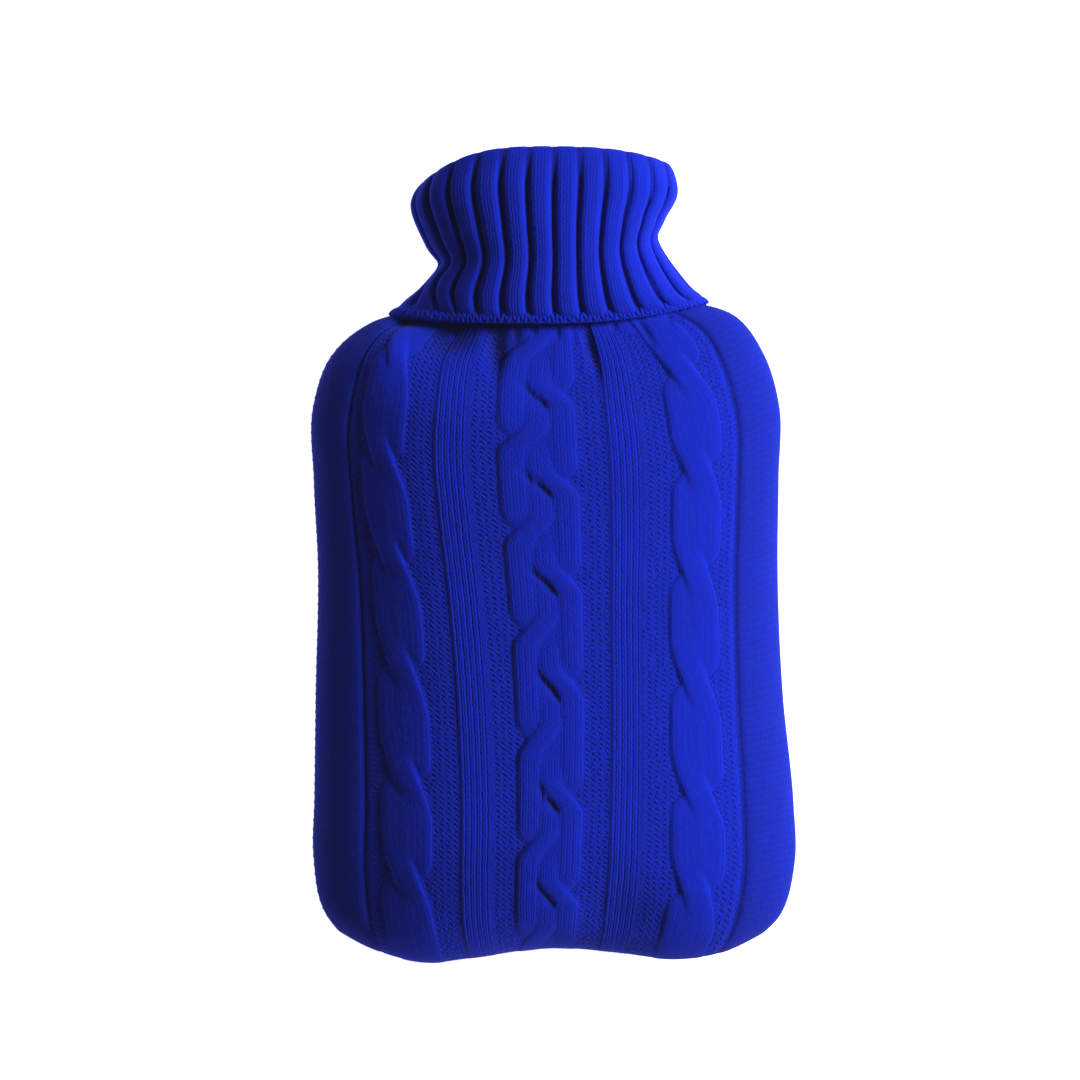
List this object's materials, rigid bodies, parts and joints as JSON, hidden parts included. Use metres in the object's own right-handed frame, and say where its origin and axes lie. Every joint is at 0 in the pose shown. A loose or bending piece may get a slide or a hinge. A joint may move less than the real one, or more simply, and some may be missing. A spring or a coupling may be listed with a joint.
{
  "type": "hot water bottle cover",
  "caption": "Hollow cable-knit cover for a hot water bottle, filled out as in use, with a ribbed roll neck turned down over its shoulders and an open mouth.",
  "frame": {"origin": "middle of the cover's box, on the surface that it lies on", "axes": "+X across the cover, to the right as seen from the front; +Y along it, towards the mouth; +Z out of its patterned front"},
  "size_m": [0.2, 0.3335, 0.0618],
  "materials": {
    "front_panel": "royal blue chunky wool-blend knit, cables and plait over purl ground, matt and slightly fuzzy",
    "back_panel": "royal blue plain knit, matt and slightly fuzzy",
    "roll_neck": "royal blue ribbed knit, matt and slightly fuzzy"
  },
  "bodies": {
    "root": {"front_panel": "front_panel", "back_panel": "back_panel", "roll_neck": "roll_neck"}
  },
  "joints": []
}
